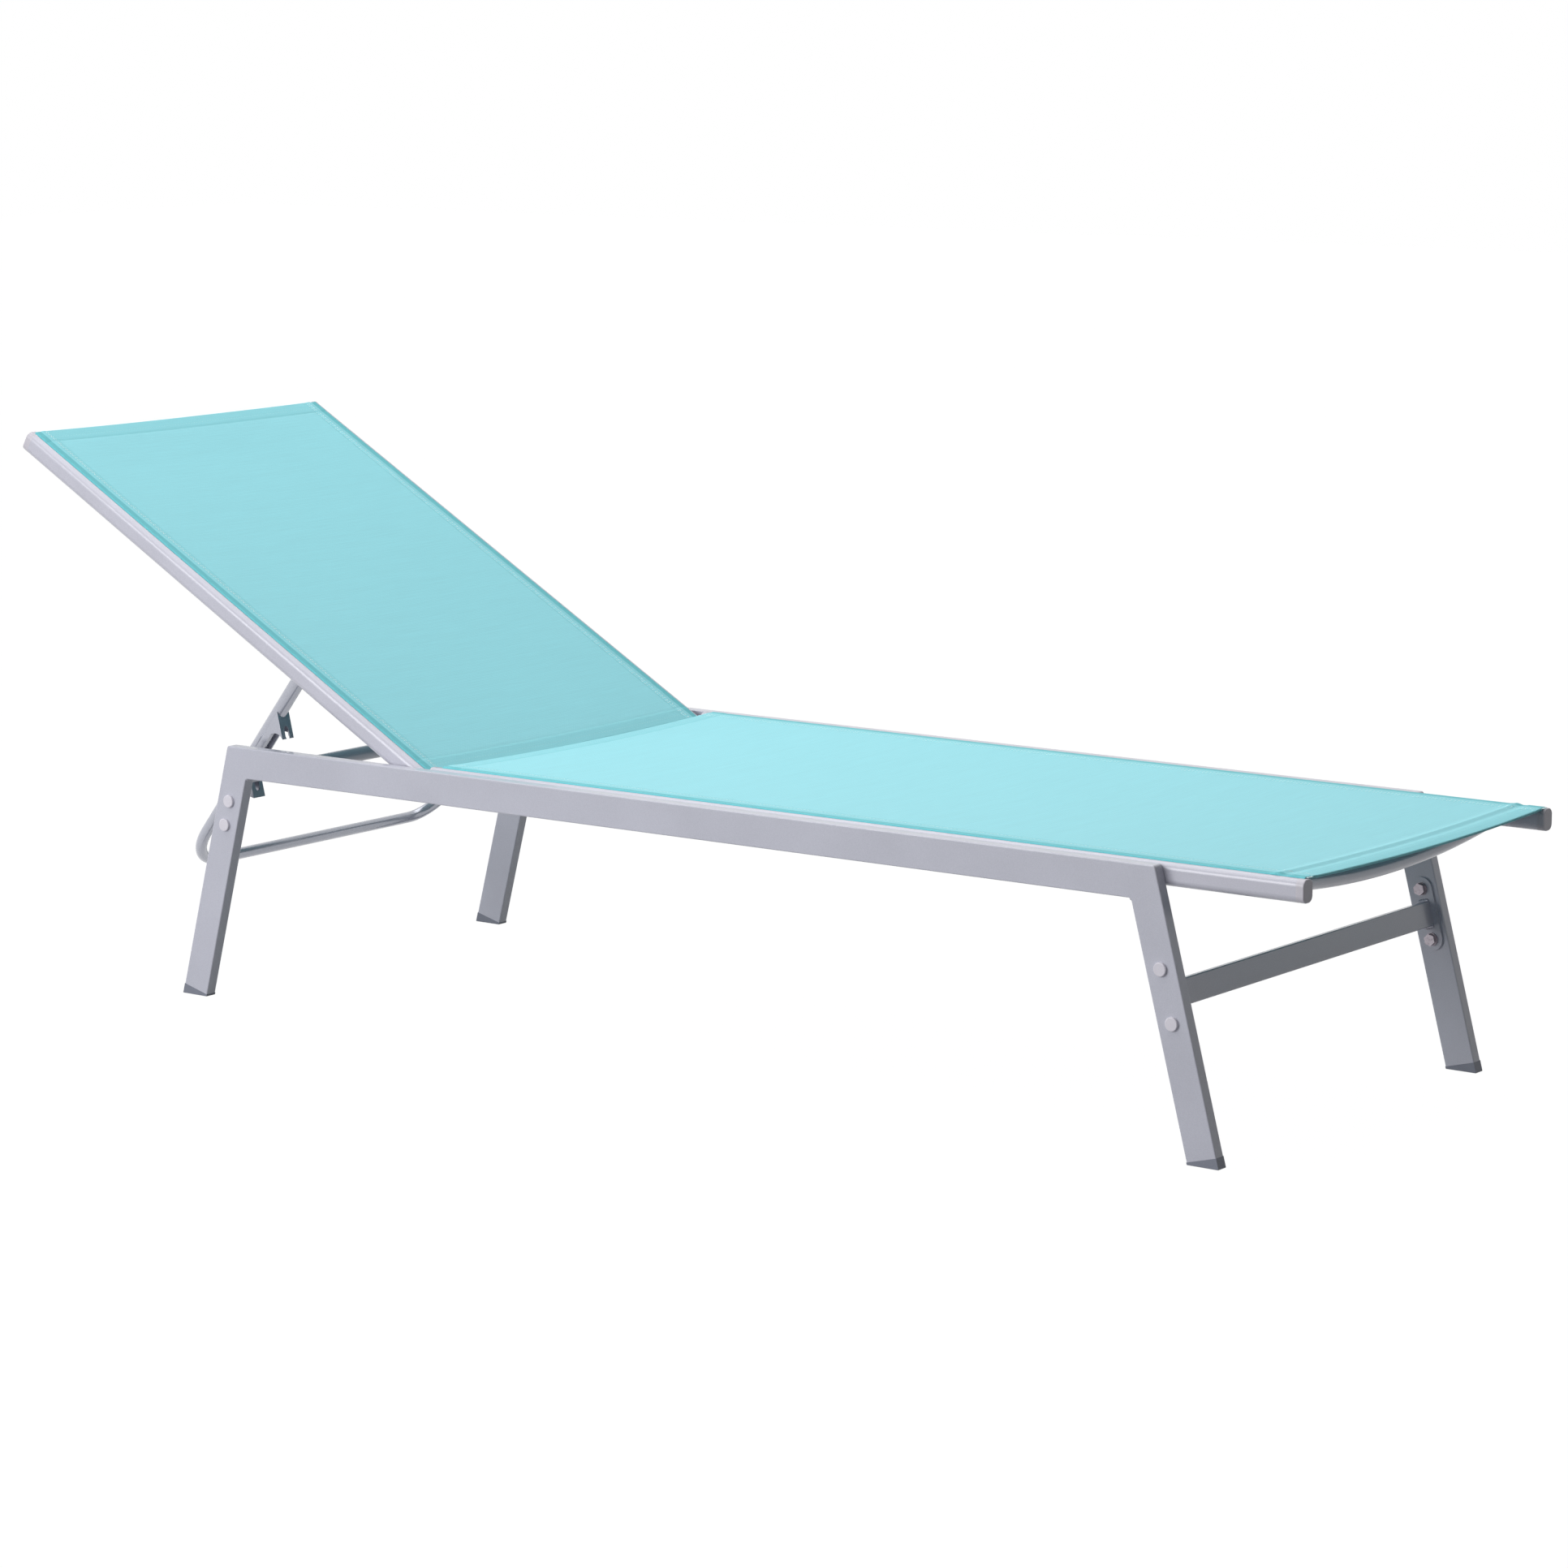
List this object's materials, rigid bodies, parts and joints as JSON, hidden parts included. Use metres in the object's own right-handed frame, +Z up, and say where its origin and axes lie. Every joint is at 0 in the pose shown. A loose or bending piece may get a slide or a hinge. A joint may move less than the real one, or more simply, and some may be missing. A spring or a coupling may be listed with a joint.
{
  "type": "chaise lounge",
  "caption": "Sun lounger of flat tube side frames with splayed legs, stretched mesh seat and a reclining mesh backrest held up by a notched swinging prop.",
  "frame": {"origin": "on the floor, midway along and across the lounger's bounding box as it stands at rest with the backrest raised", "axes": "+X runs from the head end to the foot end, +Y to the left side of someone lying with the head up, +Z up; the mirror plane is Y = 0"},
  "size_m": [1.9582, 0.6068, 0.7119],
  "materials": {
    "painted_frame": "smooth satin powder coat, silver with a lavender tint",
    "rail_metal": "satin silver coat on extruded rail and bent tube",
    "prop_metal": "satin silver coat on round tube and pressed sheet",
    "sling_mesh": "open weave of coated yarn, pale aqua, matt",
    "bead_rod": "plain extruded rod",
    "grey_plastic": "moulded warm grey, satin",
    "cap_plastic": "moulded pale silver grey, satin",
    "zinc_steel": "bright zinc plate",
    "bush_plastic": "moulded dark nylon"
  },
  "bodies": {
    "frame": {"side_rail_left": "painted_frame", "front_leg_left": "painted_frame", "rear_leg_left": "painted_frame", "front_end_plate_left": "painted_frame", "rear_end_plate_left": "painted_frame", "front_foot_cap_left": "grey_plastic", "rear_foot_cap_left": "grey_plastic", "seat_rail_left": "rail_metal", "seat_rail_cap_left": "grey_plastic", "side_rail_right": "painted_frame", "front_leg_right": "painted_frame", "rear_leg_right": "painted_frame", "front_end_plate_right": "painted_frame", "rear_end_plate_right": "painted_frame", "front_foot_cap_right": "grey_plastic", "rear_foot_cap_right": "grey_plastic", "seat_rail_right": "rail_metal", "seat_rail_cap_right": "grey_plastic", "front_crossbar": "painted_frame", "catch_bar": "painted_frame", "front_leg_bolts": "zinc_steel", "rear_leg_bolts": "zinc_steel", "front_leg_washers": "zinc_steel", "rear_leg_washers": "zinc_steel", "front_barrel_nuts": "zinc_steel", "rear_barrel_nuts": "zinc_steel", "front_bolt_caps": "cap_plastic", "rear_bolt_caps": "cap_plastic", "seat_rail_rear_plugs": "grey_plastic", "rail_screws": "zinc_steel", "seat_foot_spreader": "rail_metal", "seat_hip_spreader": "rail_metal", "seat_sling": "sling_mesh", "seat_bead_rods": "bead_rod", "hinge_rivet_nuts": "zinc_steel", "hinge_bolts": "zinc_steel"},
    "backrest": {"back_rail_left": "rail_metal", "back_rail_cap_left": "grey_plastic", "back_rail_right": "rail_metal", "back_rail_cap_right": "grey_plastic", "back_rail_hinge_plugs": "grey_plastic", "back_lumbar_spreader": "rail_metal", "back_head_spreader": "rail_metal", "back_sling": "sling_mesh", "back_bead_rods": "bead_rod", "hinge_bushes": "bush_plastic", "prop_rivet_nuts": "zinc_steel", "prop_pivot_bolts": "zinc_steel"},
    "prop": {"prop_leg_left": "prop_metal", "prop_rack_left": "prop_metal", "prop_leg_right": "prop_metal", "prop_rack_right": "prop_metal", "prop_leg_plugs": "grey_plastic", "prop_pivot_bushes": "bush_plastic", "prop_bow": "prop_metal"}
  },
  "joints": [
    {"name": "backrest_recline", "type": "hinge", "parent": "frame", "child": "backrest", "pos_m": [-0.30437, 0, 0.3209], "axis": [0, 1, 0], "range_deg": [-30.5, 0]},
    {"name": "prop_swing", "type": "hinge", "parent": "backrest", "child": "prop", "pos_m": [-0.5091, 0, 0.43628], "axis": [0, 1, 0], "range_deg": [0, 79.3]}
  ],
  "couplings": [
    {"joint": "prop_swing", "follows": "backrest_recline", "ratio": -2.6}
  ]
}
